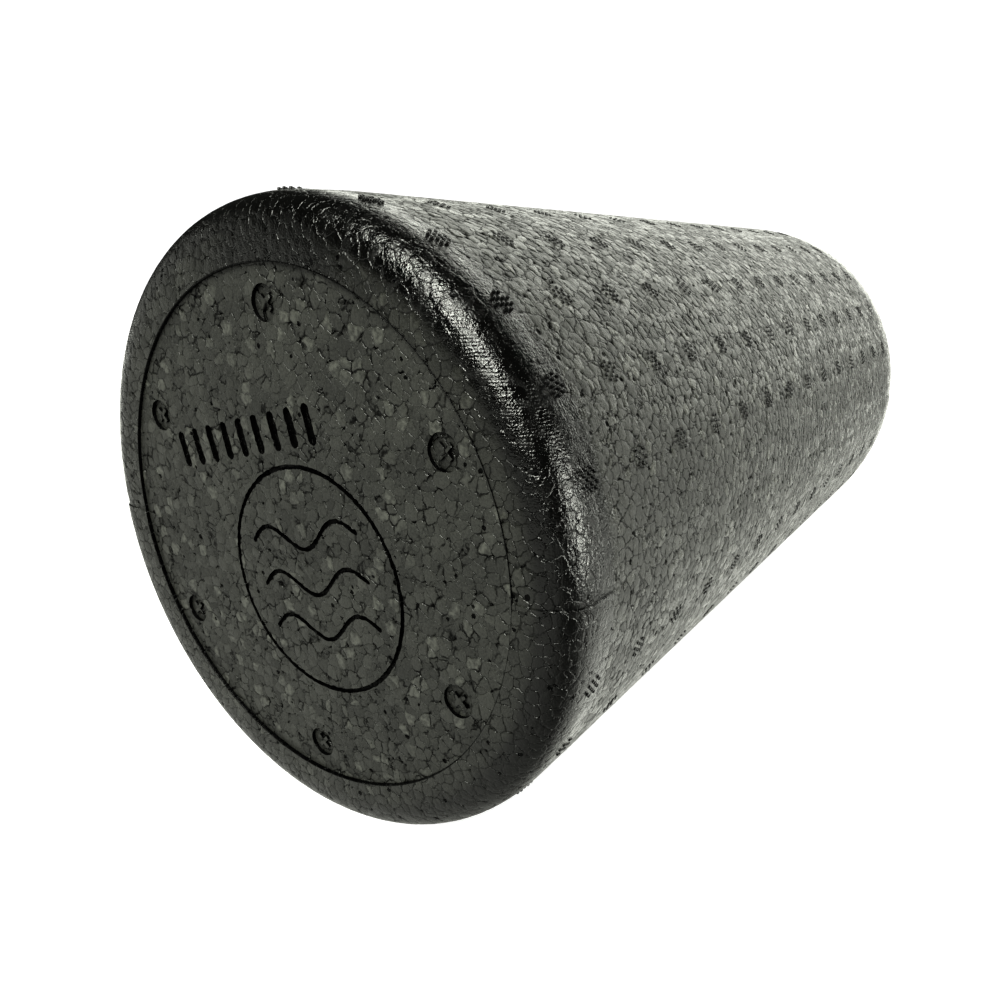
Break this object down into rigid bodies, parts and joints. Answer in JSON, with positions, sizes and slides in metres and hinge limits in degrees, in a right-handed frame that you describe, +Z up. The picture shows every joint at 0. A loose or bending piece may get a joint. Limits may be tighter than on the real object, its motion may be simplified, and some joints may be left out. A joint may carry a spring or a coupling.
{
  "type": "foam roller",
  "caption": "Round bar of moulded black bead foam with rounded shoulders, recessed end panels and raised vent marks, rolled under the body for massage.",
  "frame": {"origin": "on the floor under the middle of the barrel, as the roller lies on its side", "axes": "+X along the roller, away from the marked end; +Z up; the mould's parting plane is level, at half the height"},
  "size_m": [0.3, 0.15, 0.15],
  "materials": {
    "foam_body": "moulded bead foam with a satin skin, glossier on the shoulders",
    "foam_panel": "moulded bead foam with a satin skin and open dark seams between the beads"
  },
  "bodies": {
    "root": {"roller_body": "foam_body", "near_end_panel": "foam_panel", "far_end_panel": "foam_panel"}
  },
  "joints": []
}
